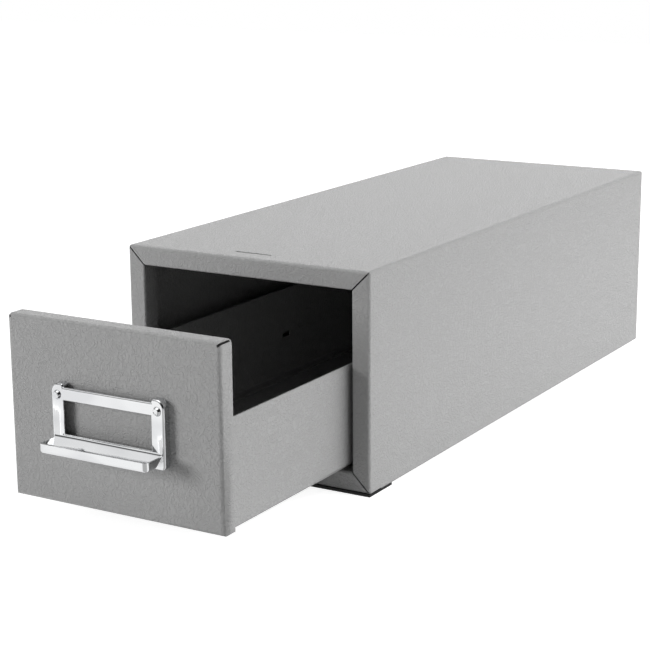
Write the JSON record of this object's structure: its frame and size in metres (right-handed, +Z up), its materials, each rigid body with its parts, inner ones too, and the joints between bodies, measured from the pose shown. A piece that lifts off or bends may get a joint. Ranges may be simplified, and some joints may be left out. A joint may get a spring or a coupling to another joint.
{
  "type": "microscope slide cabinet",
  "caption": "Sheet-steel storage cabinet for microscope slides, with a long open-topped drawer that slides out on a stamped pull with a card frame.",
  "frame": {"origin": "on the plane under the feet, below the middle of the front edge of the case's face frame", "axes": "+X across the cabinet to the right as seen from the front, +Y from the front to the back, +Z up"},
  "size_m": [0.165, 0.5595, 0.1304],
  "materials": {
    "grey_powder_coat": "fine leatherette-textured grey powder coat on folded sheet steel",
    "chromed_steel": "bright nickel-chromium plate on stamped steel",
    "black_rubber": "matt black rubber",
    "zinc_plated_steel": "dull zinc plate on rolled steel",
    "natural_nylon": "natural moulded nylon"
  },
  "bodies": {
    "case": {"case_wrapper": "grey_powder_coat", "case_bottom": "grey_powder_coat", "case_back": "grey_powder_coat", "front_foot_strip": "black_rubber", "rear_foot_strip": "black_rubber", "left_runner": "zinc_plated_steel", "right_runner": "zinc_plated_steel", "left_front_glide": "natural_nylon", "right_front_glide": "natural_nylon", "left_buffer": "black_rubber", "right_buffer": "black_rubber"},
    "drawer": {"drawer_shell": "grey_powder_coat", "drawer_floor": "grey_powder_coat", "drawer_back": "grey_powder_coat", "card_frame_pull": "chromed_steel", "left_pull_rivet": "chromed_steel", "right_pull_rivet": "chromed_steel", "left_rivet_washer": "zinc_plated_steel", "right_rivet_washer": "zinc_plated_steel", "left_rear_glide": "natural_nylon", "right_rear_glide": "natural_nylon"}
  },
  "joints": [
    {"name": "drawer_slide", "type": "slide", "parent": "case", "child": "drawer", "axis": [0, -1, 0], "range_m": [-0.126, 0.1345]}
  ]
}
